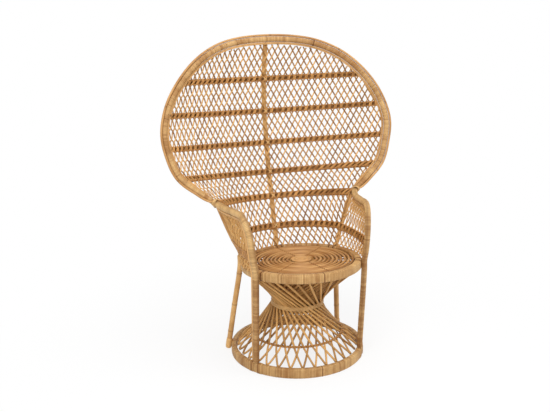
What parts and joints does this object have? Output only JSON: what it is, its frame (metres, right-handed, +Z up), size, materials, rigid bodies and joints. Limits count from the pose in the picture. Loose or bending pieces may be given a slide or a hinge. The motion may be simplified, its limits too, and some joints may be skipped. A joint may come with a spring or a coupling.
{
  "type": "peacock chair",
  "caption": "Rattan peacock chair with a tall fan-shaped lattice back, wrapped rim and arms, a round coiled seat and an hourglass pedestal on a hoop base.",
  "frame": {"origin": "on the floor, under the middle of the chair's outer box", "axes": "+Z up; the sitter looks along -Y; +X is on the right of someone who faces the chair"},
  "size_m": [1.1216, 0.8038, 1.4379],
  "materials": {
    "wrapped_rattan": "split rattan peel wrapped over a core, satin",
    "round_rattan": "round rattan, satin",
    "lattice_strand": "thin woven rattan, satin",
    "dark_twine": "twined rattan, darker in its recesses",
    "bare_pole": "bare rattan pole with nodes, satin"
  },
  "bodies": {
    "root": {"base_hoop": "wrapped_rattan", "pedestal_skirt": "lattice_strand", "pedestal_mid_ring": "dark_twine", "pedestal_lower_twist": "lattice_strand", "pedestal_waist_ring": "wrapped_rattan", "pedestal_upper_twist": "lattice_strand", "seat_hoop": "wrapped_rattan", "seat_spokes": "lattice_strand", "seat_coil": "round_rattan", "seat_centre_button": "round_rattan", "arm_rail_left": "wrapped_rattan", "arm_rail_right": "wrapped_rattan", "arm_bead_left": "round_rattan", "arm_bead_right": "round_rattan", "fan_rim_rail": "wrapped_rattan", "fan_rim_bead": "round_rattan", "fan_rim_outer_pole": "round_rattan", "neck_binding_left": "wrapped_rattan", "neck_binding_right": "wrapped_rattan", "rear_leg_left": "bare_pole", "rear_leg_right": "bare_pole", "back_stile_left": "bare_pole", "back_stile_right": "bare_pole", "back_centre_post": "bare_pole", "back_band_1": "dark_twine", "back_band_2": "dark_twine", "back_band_3": "dark_twine", "back_band_4": "dark_twine", "back_band_5": "dark_twine", "back_band_6": "dark_twine", "arm_band_left": "dark_twine", "arm_band_right": "dark_twine", "back_lattice_1": "lattice_strand", "back_lattice_2": "lattice_strand", "back_lattice_3": "lattice_strand", "back_lattice_4": "lattice_strand", "back_lattice_5": "lattice_strand", "back_lattice_6": "lattice_strand", "back_lattice_7": "lattice_strand", "arm_lattice_lower_left": "lattice_strand", "arm_lattice_lower_right": "lattice_strand", "arm_lattice_upper_left": "lattice_strand", "arm_lattice_upper_right": "lattice_strand"}
  },
  "joints": []
}
